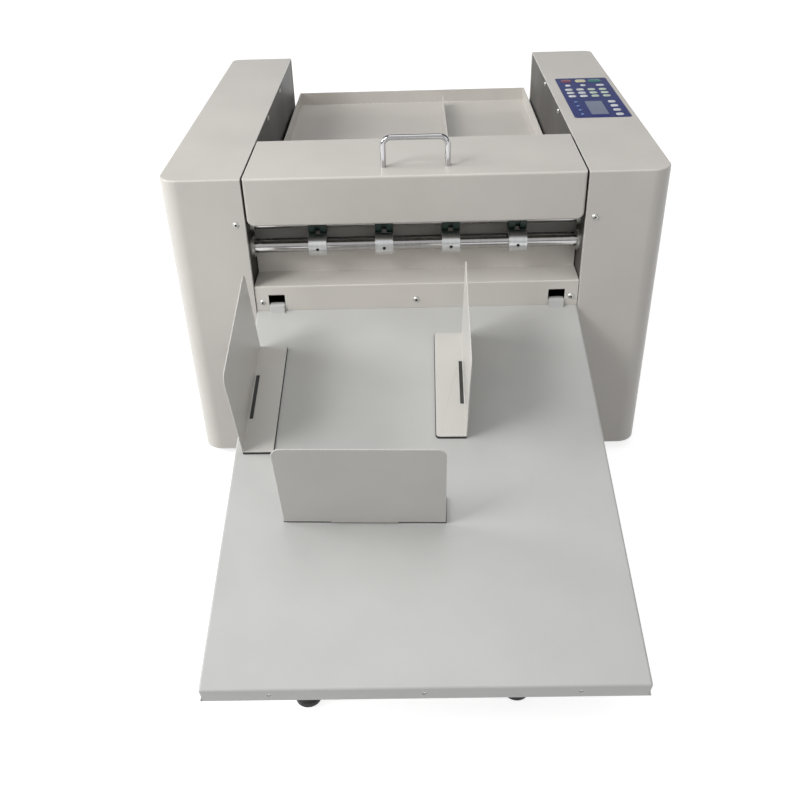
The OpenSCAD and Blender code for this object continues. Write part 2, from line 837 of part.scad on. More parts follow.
module tray_feet() {
    r = tray_foot_d / 2;
    color("black") in_machine() for (leg = legs) translate([leg[0], leg[1], 0])
        rotate_extrude() difference() {
            polygon([[0, 0], [r - 1, 0], [r, 1], [r, 6], [r - 3, 10], [6, 12], [0, 12]]);
            translate([-1, 9 - fit]) square([5 + fit, 10]);
        }
}

// ---- Guides ----

// Upright plate with a foot flange: the plate's outer face is x = 0, the flange runs
// along +X, the plate's length is along -Y, and both stand on the magnetic pad
module angle_plate(lean) {
    translate([0, 0, magnet_t]) rotate([0, -lean, 0]) rotate([90, 0, -90])
        translate([0, 0, -guide_t]) linear_extrude(guide_t)
            rounded_plate(guide_len, guide_h, guide_r);
    translate([0, 0, magnet_t]) linear_extrude(guide_t) rotate(-90)
        rounded_plate(guide_len, guide_flange, flange_corner_r);
}

// Magnetic pad under a flange, standing out a little around it
module pad(x0) {
    rim = 0.8;
    skin = 0.025;
    translate([x0, rim, skin]) linear_extrude(magnet_t - 2 * skin) rotate(-90)
        rounded_plate(guide_len + 2 * rim, guide_flange + rim - x0, flange_corner_r + rim);
}

// Angle plate with a slot along its bend
module guide_plate() {
    slot_x = guide_t + 0.8;
    difference() {
        angle_plate(guide_lean);
        block([slot_x, -(guide_len + guide_slot) / 2, 0],
            [slot_x + guide_slot_w, -(guide_len - guide_slot) / 2, 10]);
    }
}

module at_left_guide() {
    in_tray() translate([left_guide_x, -left_guide_s, 0]) rotate(left_guide_turn) children();
}

module at_right_guide() {
    in_tray() translate([right_guide_x, -right_guide_s, 0]) mirror([1, 0, 0])
        rotate(right_guide_turn) children();
}

// The end stop's plate faces the viewer and its flange runs back under the stack
module at_end_stop() {
    in_tray() translate([stop_x0, -stop_s, 0]) rotate(90 + stop_turn) children();
}

module left_tray_guide() { color("whitesmoke") at_left_guide() guide_plate(); }

module left_guide_magnet() { color("black") at_left_guide() pad(1); }

module right_tray_guide() { color("whitesmoke") at_right_guide() guide_plate(); }

module right_guide_magnet() { color("black") at_right_guide() pad(1); }

// Stop with two open slits at the ends of its bend
module end_stop() {
    color("whitesmoke") at_end_stop() difference() {
        angle_plate(0);
        for (y = [0, guide_len - stop_slit])
            block([-1, -y - stop_slit, 0], [guide_t + 0.4, -y, magnet_t + guide_t + 0.2]);
    }
}

module end_stop_magnet() { color("black") at_end_stop() pad(guide_t + 0.4); }

module feed_guide() {
    r = 8;
    color("whitesmoke") in_machine() translate([feed_guide_x, feed_guide_back, feed_floor]) union() {
        rotate([90, 0, -90]) translate([0, 0, -guide_t]) linear_extrude(guide_t)
            rounded_plate(feed_guide_len, feed_guide_h, r);
        block([0, -feed_guide_len, 0], [feed_guide_flange, 0, guide_t]);
    }
}

// ---- Electrics ----

module control_board() {
    x1 = -frame_out - 12;
    color("seagreen") in_machine() {
        union() {
            block([x1 - 1.6, 160, foot_h + 150], [x1, 330, foot_h + 270]);
            for (k = [0:3]) block([x1 - 20, 175 + k * 36, foot_h + 162],
                [x1 - 1, 198 + k * 36, foot_h + 180]);
            block([x1 - 8, 190, foot_h + 200], [x1 - 1, 240, foot_h + 245]);
            for (z = [205, 225, 245]) x_rod(x1 - 22, x1 - 1, 285, foot_h + z, 8);
            for (y = [168, 322], z = [158, 262])
                x_rod(x1 - 0.5, -frame_out, y, foot_h + z, 3);
        }
    }
}

module power_supply() {
    x1 = -frame_out;
    color("silver") in_machine() difference() {
        block([x1 - 50, 330, foot_h + 20], [x1, 490, foot_h + 118]);
        for (k = [0:11]) block([x1 - 51, 350 + k * 11, foot_h + 35],
            [x1 - 48, 355 + k * 11, foot_h + 103]);
    }
}

module power_inlet() {
    w = inlet_w - 0.6;
    h = inlet_h - 0.6;
    color("black") in_machine() translate([inlet_x, body_depth, inlet_z]) difference() {
        union() {
            block([-w / 2, -26, -h / 2], [w / 2, 1, h / 2]);
            block([-17, 0, -13], [17, 2.5, 13]);
        }
        block([-w / 2 + 3, -14, -h / 2 + 3], [w / 2 - 3, 5, h / 2 - 3]);
    }
    color("silver") in_machine() translate([inlet_x, body_depth, inlet_z])
        for (x = [-7, 0, 7]) block([x - 1, -15, -1.5], [x + 1, -3, 2.5]);
}

// Frame of the mains switch, snapped into the housing
module power_switch() {
    w = switch_w - 0.6;
    h = switch_h - 0.6;
    color("black") in_machine() translate([inlet_x, body_depth, switch_z]) difference() {
        union() {
            block([-w / 2, -20, -h / 2], [w / 2, 1, h / 2]);
            block([-w / 2 - 1.5, 0, -h / 2 - 1.5], [w / 2 + 1.5, 2, h / 2 + 1.5]);
        }
        block([-w / 2 + 1.5, -12, -h / 2 + 1], [w / 2 - 1.5, 5, h / 2 - 1]);
    }
}

// Rocker, tipped to its off side at rest
module switch_rocker() {
    w = switch_w - 0.6 - 3.6;
    color("black") in_machine() translate([inlet_x, body_depth - 3, switch_z]) rotate([-10, 0, 0])
        x_plate(-w / 2, w / 2) difference() {
            intersection() {
                circle(7.6);
                translate([-4, -8]) square([11.6, 16]);
            }
            translate([15, 0]) circle(9.6);
        }
}

// ---- Keypad ----

module at_keypad() { in_machine() translate([film_x0, film_y0, top_z]) children(); }

// Membrane sheet with rounded corners
module keypad_film() {
    color("navy") at_keypad() linear_extrude(film_t) union() {
        translate([4, 0]) square([film_w - 8, film_len]);
        translate([0, 4]) square([film_w, film_len - 8]);
        for (x = [4, film_w - 4], y = [4, film_len - 4]) translate([x, y]) circle(4);
    }
}

// Raised key of a given size, its ends rounded
module key(x, y, w, l) {
    r = min(w, l) / 2 - 0.1;
    at_keypad() translate([x, y, film_t]) linear_extrude(key_h) union() {
        square([w - 2 * r, l], center = true);
        square([w, l - 2 * r], center = true);
        for (sx = [-1, 1], sy = [-1, 1]) translate([sx * (w / 2 - r), sy * (l / 2 - r)]) circle(r);
    }
}

module keypad_keys() {
    color("lightgray") {
        for (k = [[15, 15], [36, 16], [57, 19]]) key(k[0], 180, k[1], 15);
        for (k = [[14, 8], [36, 8], [61, 12]]) key(k[0], 156, k[1], 9);
        for (i = [0:3], j = [0:2]) key(12 + i * 16.3, 134 - j * 16.8, 11, 10);
        for (j = [0:3]) key(62, 12 + j * 19.6, 10.5, 10.5);
    }
}

module display_window() {
    color("slategray") at_keypad() translate([24.5, 12, film_t]) cube([23, 60, 0.8]);
}

module indicator_leds() {
    color("lightskyblue") at_keypad() for (j = [0:3])
        translate([12.4, 14.5 + j * 19, film_t]) cylinder(h = 0.6, r = 2.2);
}

base_plate();
machine_feet();
left_side_frame();
right_side_frame();
tie_bars();
left_housing();
right_housing();
panel_screws();
front_panel();
rear_panel();
feed_table();
crossbar();
lower_die();
beam_guides();
shaft_bearings();
crease_motor();
stepper_motor();
timing_belt();
control_board();
power_supply();
power_inlet();
power_switch();
switch_rocker();
keypad_film();
keypad_keys();
display_window();
indicator_leds();
cover();
cover_handle();
hinge_pins();
outfeed_shaft();
outfeed_collars();
collar_set_screws();
outfeed_gear();
outfeed_pulley();
nip_shaft();
nip_wheels();
nip_gear();
infeed_lower_roller();
infeed_lower_gear();
infeed_pulley();
infeed_upper_roller();
infeed_upper_gear();
motor_pulley();
creasing_beam();
creasing_blade();
pull_plates();
eccentric_shaft();
eccentric_gear();
motor_pinion();
delivery_tray();
tray_legs();
tray_feet();
left_tray_guide();
left_guide_magnet();
right_tray_guide();
right_guide_magnet();
end_stop();
end_stop_magnet();
feed_guide();
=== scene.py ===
"""Studio scene of a desktop paper creasing machine: finishes, folded sheets, keypad, camera and light."""
import json
import math

import bmesh
import bpy
from mathutils import Matrix, Vector

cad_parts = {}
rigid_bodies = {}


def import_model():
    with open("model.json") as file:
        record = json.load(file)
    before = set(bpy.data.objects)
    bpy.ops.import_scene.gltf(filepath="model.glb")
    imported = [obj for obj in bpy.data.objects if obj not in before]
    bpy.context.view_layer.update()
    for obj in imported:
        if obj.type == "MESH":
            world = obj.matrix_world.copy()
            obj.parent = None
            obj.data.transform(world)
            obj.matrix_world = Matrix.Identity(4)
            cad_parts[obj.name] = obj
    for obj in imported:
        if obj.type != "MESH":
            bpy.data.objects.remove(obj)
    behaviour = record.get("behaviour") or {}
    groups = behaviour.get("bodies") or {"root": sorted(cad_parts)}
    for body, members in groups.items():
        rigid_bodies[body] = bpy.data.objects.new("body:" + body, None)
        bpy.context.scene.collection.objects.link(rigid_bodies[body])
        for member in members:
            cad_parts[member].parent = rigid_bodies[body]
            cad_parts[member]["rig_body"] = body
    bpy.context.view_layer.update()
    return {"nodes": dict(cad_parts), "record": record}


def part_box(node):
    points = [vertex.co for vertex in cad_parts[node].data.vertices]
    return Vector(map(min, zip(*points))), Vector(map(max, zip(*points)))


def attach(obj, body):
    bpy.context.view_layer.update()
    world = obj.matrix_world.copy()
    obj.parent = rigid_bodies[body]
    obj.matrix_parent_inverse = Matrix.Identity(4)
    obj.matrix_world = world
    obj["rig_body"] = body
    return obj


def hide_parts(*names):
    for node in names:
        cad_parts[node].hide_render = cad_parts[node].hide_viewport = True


MM = 0.001

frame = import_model()

# ---------------------------------------------------------------- camera
# Seen from above the delivery side and slightly rolled, as in the photograph; angles in radians
VIEW_PITCH = 0.596334
VIEW_YAW = -0.022347
VIEW_ROLL = 0.031696
VIEW_PLACE = Vector((-0.0022, -1.0669, 0.7638))
LENS_MM = 40.21
SENSOR_MM = 36.0
FAR_CLIP = 100.0


def make_camera():
    """Camera whose right, down and forward directions come from pitch, yaw and roll."""
    cp, sp = math.cos(VIEW_PITCH), math.sin(VIEW_PITCH)
    cy, sy = math.cos(VIEW_YAW), math.sin(VIEW_YAW)
    forward = Vector((sy * cp, cy * cp, -sp))
    level_right = Vector((cy, -sy, 0.0))
    level_down = forward.cross(level_right)
    cr, sr = math.cos(VIEW_ROLL), math.sin(VIEW_ROLL)
    right = cr * level_right + sr * level_down
    down = cr * level_down - sr * level_right
    data = bpy.data.cameras.new("view")
    data.lens = LENS_MM
    data.sensor_width = SENSOR_MM
    data.clip_end = FAR_CLIP
    camera = bpy.data.objects.new("view", data)
    bpy.context.scene.collection.objects.link(camera)
    turn = Matrix((right, -down, -forward)).transposed().to_4x4()
    camera.matrix_world = Matrix.Translation(VIEW_PLACE) @ turn
    bpy.context.scene.camera = camera


make_camera()


# ---------------------------------------------------------------- node helpers
def add(tree, kind, **values):
    """New node; values set its properties, or its inputs where a key names one."""
    node = tree.nodes.new(kind)
    for key, value in values.items():
        if hasattr(node, key):
            setattr(node, key, value)
        else:
            node.inputs[key.replace("_", " ")].default_value = value
    return node


def wire(tree, *pairs):
    """Links each (output, input) pair."""
    for out_socket, in_socket in pairs:
        tree.links.new(out_socket, in_socket)


def effect_group(name, inputs, outputs):
    """Empty shader group with named float, colour and vector sockets."""
    kinds = {"f": "NodeSocketFloat", "c": "NodeSocketColor", "v": "NodeSocketVector"}
    tree = bpy.data.node_groups.new(name, "ShaderNodeTree")
    for label, kind, default in inputs:
        socket = tree.interface.new_socket(label, in_out="INPUT", socket_type=kinds[kind])
        if default is not None:
            socket.default_value = default
    for label, kind in outputs:
        tree.interface.new_socket(label, in_out="OUTPUT", socket_type=kinds[kind])
    return tree, add(tree, "NodeGroupInput"), add(tree, "NodeGroupOutput")


def math_node(tree, operation, first, second, clamp=False):
    """Math node between sockets or numbers; returns its output."""
    node = add(tree, "ShaderNodeMath", operation=operation, use_clamp=clamp)
    for index, value in enumerate((first, second)):
        if isinstance(value, (int, float)):
            node.inputs[index].default_value = value
        else:
            tree.links.new(value, node.inputs[index])
    return node.outputs[0]


def noise(tree, vector, scale, detail=3.0, roughness=0.5):
    """Noise texture read at a vector; returns its value."""
    node = add(tree, "ShaderNodeTexNoise", Scale=scale, Detail=detail, Roughness=roughness)
    tree.links.new(vector, node.inputs["Vector"])
    return node.outputs["Fac"]


def remap(tree, value, low, high, to_low=0.0, to_high=1.0):
    """Clamped linear remap of a value."""
    node = add(tree, "ShaderNodeMapRange")
    limits = {"From Min": low, "From Max": high, "To Min": to_low, "To Max": to_high}
    for label, number in limits.items():
        node.inputs[label].default_value = number
    tree.links.new(value, node.inputs["Value"])
    return node.outputs["Result"]


def blend_colours(tree, factor, first, second):
    """Colour mix of sockets or colours by a factor socket; returns its output."""
    node = add(tree, "ShaderNodeMix", data_type="RGBA")
    tree.links.new(factor, node.inputs[0])
    for index, value in ((6, first), (7, second)):
        if isinstance(value, tuple):
            node.inputs[index].default_value = value
        else:
            tree.links.new(value, node.inputs[index])
    return node.outputs[2]


# ---------------------------------------------------------------- shared effects
# Dot product of the rounded and the true normal where the edge colour begins, and where it is full
EDGE_BEGINS = 0.995
EDGE_FULL = 0.90


def build_edge_mask():
    """Mask that is 1 along outer edges, broken up by noise: worn edges, and the painted highlight along the
    pale enamels' edges.
    """
    inputs = [("Radius", "f", 0.0008), ("Grain", "f", 400.0), ("Amount", "f", 1.0)]
    tree, given, result = effect_group("edge_wear_and_highlight", inputs, [("Mask", "f")])
    place = add(tree, "ShaderNodeTexCoord").outputs["Object"]
    rounded = add(tree, "ShaderNodeBevel", samples=4)
    flat = add(tree, "ShaderNodeNewGeometry").outputs["Normal"]
    dot = add(tree, "ShaderNodeVectorMath", operation="DOT_PRODUCT")
    grain = add(tree, "ShaderNodeTexNoise", Detail=4.0)
    wire(tree,
         (given.outputs["Radius"], rounded.inputs["Radius"]),
         (rounded.outputs[0], dot.inputs[0]),
         (flat, dot.inputs[1]),
         (place, grain.inputs["Vector"]),
         (given.outputs["Grain"], grain.inputs["Scale"]))
    edge = remap(tree, dot.outputs["Value"], EDGE_BEGINS, EDGE_FULL)
    broken = math_node(tree, "MULTIPLY", edge, remap(tree, grain.outputs["Fac"], 0.38, 0.62))
    amount = math_node(tree, "MULTIPLY", broken, given.outputs["Amount"], True)
    wire(tree, (amount, result.inputs["Mask"]))
    return tree


CLOUD_SHARE = 0.55


def build_dust():
    """Mask of fine dust that gathers on faces turned up."""
    tree, given, result = effect_group("settled_dust", [("Amount", "f", 0.3)], [("Mask", "f")])
    place = add(tree, "ShaderNodeTexCoord").outputs["Object"]
    facing = add(tree, "ShaderNodeSeparateXYZ")
    wire(tree, (add(tree, "ShaderNodeNewGeometry").outputs["Normal"], facing.inputs[0]))
    up = remap(tree, facing.outputs["Z"], 0.3, 0.95)
    cloud = remap(tree, noise(tree, place, 14.0, 6.0, 0.6), 0.35, 0.75)
    speck = remap(tree, noise(tree, place, 900.0, 2.0), 0.56, 0.68)
    clouds = math_node(tree, "MULTIPLY", cloud, CLOUD_SHARE)
    specks = math_node(tree, "MULTIPLY", speck, 1.0 - CLOUD_SHARE)
    settled = math_node(tree, "MULTIPLY", math_node(tree, "ADD", clouds, specks), up)
    amount = math_node(tree, "MULTIPLY", settled, given.outputs["Amount"], True)
    wire(tree, (amount, result.inputs["Mask"]))
    return tree


WAVE_SHARE = 0.6


def build_orange_peel():
    """Height of sprayed enamel: a fine pebble over a broad unevenness, which is also its mottle."""
    inputs = [("Pebble", "f", 650.0), ("Wave", "f", 9.0)]
    tree, given, result = effect_group("orange_peel", inputs, [("Height", "f"), ("Mottle", "f")])
    place = add(tree, "ShaderNodeTexCoord").outputs["Object"]
    pebble = add(tree, "ShaderNodeTexNoise", Detail=2.0, Roughness=0.45)
    wave = add(tree, "ShaderNodeTexNoise", Detail=4.0)
    wire(tree,
         (place, pebble.inputs["Vector"]),
         (given.outputs["Pebble"], pebble.inputs["Scale"]),
         (place, wave.inputs["Vector"]),
         (given.outputs["Wave"], wave.inputs["Scale"]))
    broad = math_node(tree, "MULTIPLY", wave.outputs["Fac"], WAVE_SHARE)
    height = math_node(tree, "ADD", pebble.outputs["Fac"], broad)
    wire(tree, (height, result.inputs["Height"]), (wave.outputs["Fac"], result.inputs["Mottle"]))
    return tree


def build_tool_marks():
    """Height and tone of fine parallel tool marks, stretched by a scale along each axis."""
    inputs = [("Stretch", "v", (4000.0, 60.0, 60.0))]
    tree, given, result = effect_group("tool_marks", inputs, [("Height", "f"), ("Tone", "f")])
    place = add(tree, "ShaderNodeTexCoord").outputs["Object"]
    scaled = add(tree, "ShaderNodeVectorMath", operation="MULTIPLY")
    wire(tree, (place, scaled.inputs[0]), (given.outputs["Stretch"], scaled.inputs[1]))
    fine = noise(tree, scaled.outputs[0], 1.0, 3.0, 0.6)
    broad = noise(tree, scaled.outputs[0], 0.12, 2.0)
    wire(tree, (fine, result.inputs["Height"]), (broad, result.inputs["Tone"]))
    return tree


EDGE_WEAR_AND_HIGHLIGHT = build_edge_mask()
DUST = build_dust()
ORANGE_PEEL = build_orange_peel()
TOOL_MARKS = build_tool_marks()


# ---------------------------------------------------------------- materials
def new_material(name):
    """Material with a Principled shader; returns the material, its tree and the shader."""
    material = bpy.data.materials.new(name)
    material.use_nodes = True
    tree = material.node_tree
    return material, tree, tree.nodes["Principled BSDF"]


def place_group(tree, group, **values):
    """Puts a shared effect in a material with its own values."""
    node = tree.nodes.new("ShaderNodeGroup")
    node.node_tree = group
    for key, value in values.items():
        node.inputs[key].default_value = value
    return node


def bump(tree, shader, height, strength, distance):
    """Bump node from a height socket into the shader's normal."""
    node = add(tree, "ShaderNodeBump", Strength=strength, Distance=distance)
    wire(tree, (height, node.inputs["Height"]), (node.outputs["Normal"], shader.inputs["Normal"]))


def shade(colour, factor):
    """Colour made darker or lighter by a factor, as a four-part colour."""
    return tuple(min(1.0, part * factor) for part in colour) + (1.0,)


# Colours of the painted highlight along a pale paint's edges and of bare metal under worn paint, and of dust
# on pale and on dark pieces
EDGE_HIGHLIGHT = (0.90, 0.885, 0.86)
BARE_STEEL = (0.30, 0.29, 0.28)
PALE_DUST = (0.72, 0.70, 0.66, 1.0)
GREY_DUST = (0.45, 0.44, 0.42, 1.0)
DUST_ROUGHNESS = 0.25
PAINT_SHEEN = 0.35
COAT_ROUGHNESS = 0.10
# Width of the worn rim on metal and on moulded pieces
METAL_RIM = 0.5 * MM
MOULDED_RIM = 0.6 * MM


def enamel(name, colour, gloss_low, gloss_high, edge_amount=0.25, dust=0.2, edge_colour=BARE_STEEL, coat=0.0, rim=0.0007):
    """Sprayed paint on sheet steel, with orange peel, dust and edges in another colour: bare steel where the
    paint wears, a painted highlight in the pale enamels.
    """
    material, tree, shader = new_material(name)
    peel = place_group(tree, ORANGE_PEEL)
    edges = place_group(tree, EDGE_WEAR_AND_HIGHLIGHT, Radius=rim, Amount=edge_amount)
    dusty = place_group(tree, DUST, Amount=dust)
    mottle = remap(tree, peel.outputs["Mottle"], 0.35, 0.65)
    tone = blend_colours(tree, mottle, shade(colour, 0.965), shade(colour, 1.02))
    # Edges take the edge colour: bare steel where the paint wears, a painted highlight in the pale enamels
    worn = blend_colours(tree, edges.outputs["Mask"], tone, edge_colour + (1.0,))
    covered = blend_colours(tree, dusty.outputs["Mask"], worn, PALE_DUST)
    gloss = remap(tree, peel.outputs["Mottle"], 0.3, 0.7, gloss_low, gloss_high)
    dulled = math_node(tree, "MULTIPLY", dusty.outputs["Mask"], DUST_ROUGHNESS)
    rough = math_node(tree, "ADD", gloss, dulled, True)
    wire(tree, (covered, shader.inputs["Base Color"]), (rough, shader.inputs["Roughness"]))
    shader.inputs["Coat Weight"].default_value = coat
    shader.inputs["Coat Roughness"].default_value = COAT_ROUGHNESS
    shader.inputs["Specular IOR Level"].default_value = PAINT_SHEEN
    bump(tree, shader, peel.outputs["Height"], 0.16, 0.00005)
    return material


def metal(name, colour, gloss_low, gloss_high, stretch, edge_amount=0.3, depth=0.00003):
    """Bare or plated metal with tool marks along one direction and brighter edges."""
    material, tree, shader = new_material(name)
    marks = place_group(tree, TOOL_MARKS, Stretch=stretch)
    edges = place_group(tree, EDGE_WEAR_AND_HIGHLIGHT, Radius=METAL_RIM, Grain=900.0, Amount=edge_amount)
    tone = blend_colours(tree, marks.outputs["Tone"], shade(colour, 0.86), shade(colour, 1.08))
    bright = blend_colours(tree, edges.outputs["Mask"], tone, shade(colour, 1.35))
    rough = remap(tree, marks.outputs["Height"], 0.3, 0.7, gloss_low, gloss_high)
    wire(tree, (bright, shader.inputs["Base Color"]), (rough, shader.inputs["Roughness"]))
    shader.inputs["Metallic"].default_value = 1.0
    bump(tree, shader, marks.outputs["Height"], 0.25, depth)
    return material


def polymer(name, colour, gloss_low, gloss_high, grain, depth, dust=0.15, coat=0.0, sheen=0.5):
    """Rubber or plastic with a moulded grain and lightly worn edges."""
    material, tree, shader = new_material(name)
    place = add(tree, "ShaderNodeTexCoord").outputs["Object"]
    fine = noise(tree, place, grain, 3.0)
    broad = noise(tree, place, 30.0, 4.0)
    edges = place_group(tree, EDGE_WEAR_AND_HIGHLIGHT, Radius=MOULDED_RIM, Amount=0.1)
    dusty = place_group(tree, DUST, Amount=dust)
    tone = blend_colours(tree, broad, shade(colour, 0.8), shade(colour, 1.2))
    worn = blend_colours(tree, edges.outputs["Mask"], tone, shade(colour, 2.2))
    covered = blend_colours(tree, dusty.outputs["Mask"], worn, GREY_DUST)
    rough = remap(tree, fine, 0.3, 0.7, gloss_low, gloss_high)
    wire(tree, (covered, shader.inputs["Base Color"]), (rough, shader.inputs["Roughness"]))
    shader.inputs["Coat Weight"].default_value = coat
    shader.inputs["Specular IOR Level"].default_value = sheen
    bump(tree, shader, fine, 0.3, depth)
    return material


# Tool marks: drawn along X, turned round X, or ground upright
ALONG_X = (60.0, 2600.0, 2600.0)
ROUND_X = (3200.0, 40.0, 40.0)
UPRIGHT = (500.0, 500.0, 60.0)

# Width of the painted highlight along the pale enamels' edges, on folded sheets and on cut ones
FOLD_HIGHLIGHT = 1.6 * MM
CUT_HIGHLIGHT = 0.9 * MM


def painted(name, colour, gloss_low, gloss_high, coat, rim, dust=0.2):
    """Enamel in one of the machine's pale colours, with a painted highlight along all its edges."""
    return enamel(name, colour, gloss_low, gloss_high, 1.0, dust, EDGE_HIGHLIGHT, coat, rim)


MATERIALS = {
    "housing_paint": painted("housing_paint", (0.61, 0.583, 0.545), 0.34, 0.44, 0.28, FOLD_HIGHLIGHT),
    "tray_paint": painted("tray_paint", (0.51, 0.513, 0.50), 0.32, 0.44, 0.15, CUT_HIGHLIGHT, dust=0.15),
    "guide_paint": painted("guide_paint", (0.60, 0.584, 0.554), 0.32, 0.44, 0.2, CUT_HIGHLIGHT, dust=0.1),
    "frame_paint": enamel("frame_paint", (0.08, 0.075, 0.068), 0.5, 0.65, dust=0.08),
    "bar_paint": enamel("bar_paint", (0.46, 0.442, 0.425), 0.34, 0.48, dust=0.1),
    "motor_enamel": enamel("motor_enamel", (0.03, 0.03, 0.03), 0.35, 0.5),
    "machined_steel": metal("machined_steel", (0.50, 0.49, 0.485), 0.08, 0.18, ROUND_X, depth=0.00001),
    "blade_steel": metal("blade_steel", (0.66, 0.66, 0.67), 0.14, 0.25, ALONG_X),
    "chrome": metal("chrome", (0.52, 0.52, 0.53), 0.03, 0.07, ROUND_X, edge_amount=0.0, depth=0.000004),
    "collar_aluminium": metal("collar_aluminium", (0.74, 0.75, 0.75), 0.26, 0.42, ROUND_X),
    "zinc_steel": metal("zinc_steel", (0.60, 0.60, 0.57), 0.24, 0.40, UPRIGHT),
    "black_steel": metal("black_steel", (0.05, 0.05, 0.052), 0.35, 0.5, UPRIGHT),
    "bronze": metal("bronze", (0.58, 0.40, 0.18), 0.28, 0.45, UPRIGHT),
    "motor_zinc": metal("motor_zinc", (0.48, 0.48, 0.48), 0.35, 0.5, ROUND_X),
    "psu_steel": metal("psu_steel", (0.62, 0.62, 0.60), 0.30, 0.45, UPRIGHT),
    "green_polyurethane": polymer(
        "green_polyurethane", (0.002, 0.022, 0.015), 0.30, 0.45, grain=500.0, depth=0.00004),
    "roller_rubber": polymer(
        "roller_rubber", (0.045, 0.045, 0.047), 0.55, 0.75, grain=800.0, depth=0.00005),
    "black_rubber": polymer(
        "black_rubber", (0.022, 0.022, 0.022), 0.5, 0.7, grain=700.0, depth=0.00006),
    "belt_rubber": polymer(
        "belt_rubber", (0.025, 0.025, 0.025), 0.5, 0.7, grain=900.0, depth=0.00005),
    "magnet_rubber": polymer(
        "magnet_rubber", (0.030, 0.030, 0.031), 0.5, 0.65, grain=900.0, depth=0.00003),
    "board_laminate": polymer(
        "board_laminate", (0.012, 0.09, 0.035), 0.25, 0.4, grain=300.0, depth=0.00002),
    "black_plastic": polymer(
        "black_plastic", (0.025, 0.025, 0.026), 0.35, 0.5, grain=1400.0, depth=0.00003),
    "rocker_plastic": polymer(
        "rocker_plastic", (0.02, 0.02, 0.02), 0.15, 0.25, grain=900.0, depth=0.00001),
    "keypad_blue": polymer(
        "keypad_blue", (0.018, 0.03, 0.155), 0.24, 0.34, grain=1600.0, depth=0.00001, dust=0.03, sheen=0.15),
    "key_print": polymer(
        "key_print", (0.43, 0.44, 0.395), 0.3, 0.4, grain=1600.0, depth=0.00001, dust=0.05, coat=0.2),
    "display": polymer(
        "display", (0.20, 0.235, 0.33), 0.3, 0.4, grain=1200.0, depth=0.000004, dust=0.03, coat=0.6),
    "led_lens": polymer(
        "led_lens", (0.20, 0.34, 0.62), 0.15, 0.25, grain=1200.0, depth=0.000005, dust=0.03, coat=0.5),
}

# The front panel's paint is a little paler; the left side frame gets a darker copy of the frame paint, which
# is painted shade
PANEL_PAINT_AND_FRAME_SHADE = {
    "left_side_frame": enamel("left_frame_painted_shade", (0.03, 0.027, 0.024), 0.4, 0.5, dust=0.02),
    "front_panel": painted("panel_paint", (0.68, 0.65, 0.608), 0.32, 0.44, 0.2, FOLD_HIGHLIGHT, dust=0.15),
}

SLOTS = {row["node"]: row["material_slot"] for row in frame["record"]["subparts"]}
for node_name, slot_name in SLOTS.items():
    node_object = frame["nodes"][node_name]
    if not node_object.material_slots:
        node_object.data.materials.append(None)
    for holder in node_object.material_slots:
        holder.material = PANEL_PAINT_AND_FRAME_SHADE.get(node_name, MATERIALS[slot_name])


# ---------------------------------------------------------------- sheet metal with real bends
THIN_SHEET = 3.0 * MM
MERGE_DISTANCE = 0.002 * MM
# Two faces that meet at less than ROUND_STEP belong to one round; a bend starts at BEND_START
ROUND_STEP = math.radians(20)
BEND_START = math.radians(30)
FLAT_LIMIT = math.radians(0.5)


def welded_mesh(name):
    """Editable copy of a CAD node's mesh, with its corners joined."""
    mesh = bmesh.new()
    mesh.from_mesh(frame["nodes"][name].data)
    bmesh.ops.remove_doubles(mesh, verts=mesh.verts, dist=MERGE_DISTANCE)
    return mesh


def object_from(mesh, name, *materials):
    """Object in the scene from an editable mesh, which is freed."""
    data = bpy.data.meshes.new(name)
    mesh.to_mesh(data)
    mesh.free()
    for material in materials:
        data.materials.append(material)
    piece = bpy.data.objects.new(name, data)
    bpy.context.scene.collection.objects.link(piece)
    return piece


def face_breadth(face):
    """How wide a face is; a sheet's cut edge is only as wide as the sheet, also where it goes round."""
    rulings = [edge.calc_length() for edge in face.edges
               if len(edge.link_faces) == 2 and edge.calc_face_angle(math.pi) < ROUND_STEP]
    return max(rulings) if rulings else 2 * face.calc_area() / face.calc_perimeter()


def even_out(mesh, weight):
    """Gives edges that run on from one another the smaller radius, so that no bend jumps in size."""
    changed = True
    while changed:
        changed = False
        for vert in mesh.verts:
            edges = [edge for edge in vert.link_edges if edge[weight] > 0]
            for first in edges:
                for second in edges:
                    ahead = first.other_vert(vert).co - vert.co
                    behind = vert.co - second.other_vert(vert).co
                    if first[weight] > second[weight] and ahead.angle(behind, math.pi) < ROUND_STEP:
                        first[weight] = second[weight]
                        changed = True


LEVEL_WEIGHT = 100


def soften(name, bend, cut, reach=math.inf, segments=4):
    """Stand-in for a CAD node with bends of one radius and cut edges of another, in the same place.

    Every edge that lies further back than the depth given as reach counts as a cut edge.
    """
    source = frame["nodes"][name]
    mesh = welded_mesh(name)
    bmesh.ops.dissolve_limit(mesh, angle_limit=FLAT_LIMIT, verts=mesh.verts, edges=mesh.edges)
    weight = mesh.edges.layers.float.new("bevel_weight_edge")
    for edge in mesh.edges:
        if len(edge.link_faces) != 2 or edge.calc_face_angle(0.0) < BEND_START:
            continue
        broad = min(face_breadth(face) for face in edge.link_faces) > THIN_SHEET
        ahead = (edge.verts[0].co.y + edge.verts[1].co.y) / 2 < reach
        edge[weight] = 1.0 if broad and ahead and edge.is_convex else cut / bend
    even_out(mesh, weight)
    for face in mesh.faces:
        face.smooth = True
    piece = object_from(mesh, name + "_sheet", source.material_slots[0].material)
    rounding = piece.modifiers.new("bends", "BEVEL")
    rounding.limit_method = "WEIGHT"
    rounding.offset_type = "OFFSET"
    rounding.width = bend
    rounding.segments = segments
    rounding.use_clamp_overlap = False
    rounding.miter_outer = "MITER_ARC"
    level = piece.modifiers.new("flat_faces", "WEIGHTED_NORMAL")
    level.mode = "FACE_AREA"
    level.weight = LEVEL_WEIGHT
    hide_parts(name)
    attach(piece, source["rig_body"])


